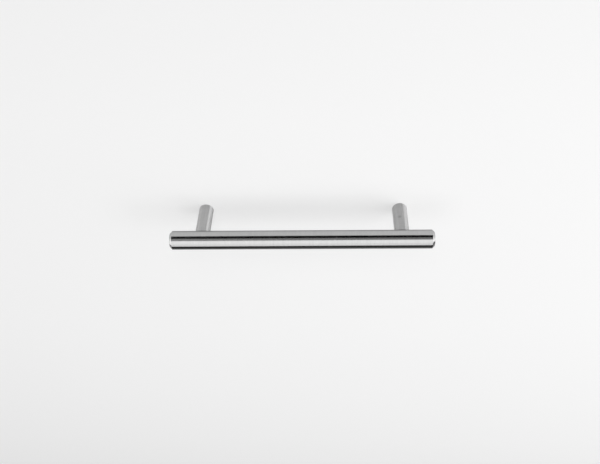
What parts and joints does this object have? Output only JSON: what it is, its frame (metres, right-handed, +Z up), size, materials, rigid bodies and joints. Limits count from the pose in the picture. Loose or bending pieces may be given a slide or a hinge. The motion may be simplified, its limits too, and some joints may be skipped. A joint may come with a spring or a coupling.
{
  "type": "t bar cabinet pull",
  "caption": "Straight round steel T bar pull: a bar with chamfered ends on round posts, each tapped at its foot for a screw from behind the cabinet front.",
  "frame": {"origin": "on the mounting plane, midway between the axes of the two mounting holes", "axes": "+X along the bar, +Y into the mounting plane (the bar stands out towards -Y), +Z up as fitted"},
  "size_m": [0.168, 0.035, 0.012],
  "materials": {
    "brushed_steel": "brushed",
    "stud_steel": "black oxide"
  },
  "bodies": {
    "root": {"bar": "brushed_steel", "post_left": "brushed_steel", "post_right": "brushed_steel", "stud_left": "stud_steel", "stud_right": "stud_steel"}
  },
  "joints": []
}
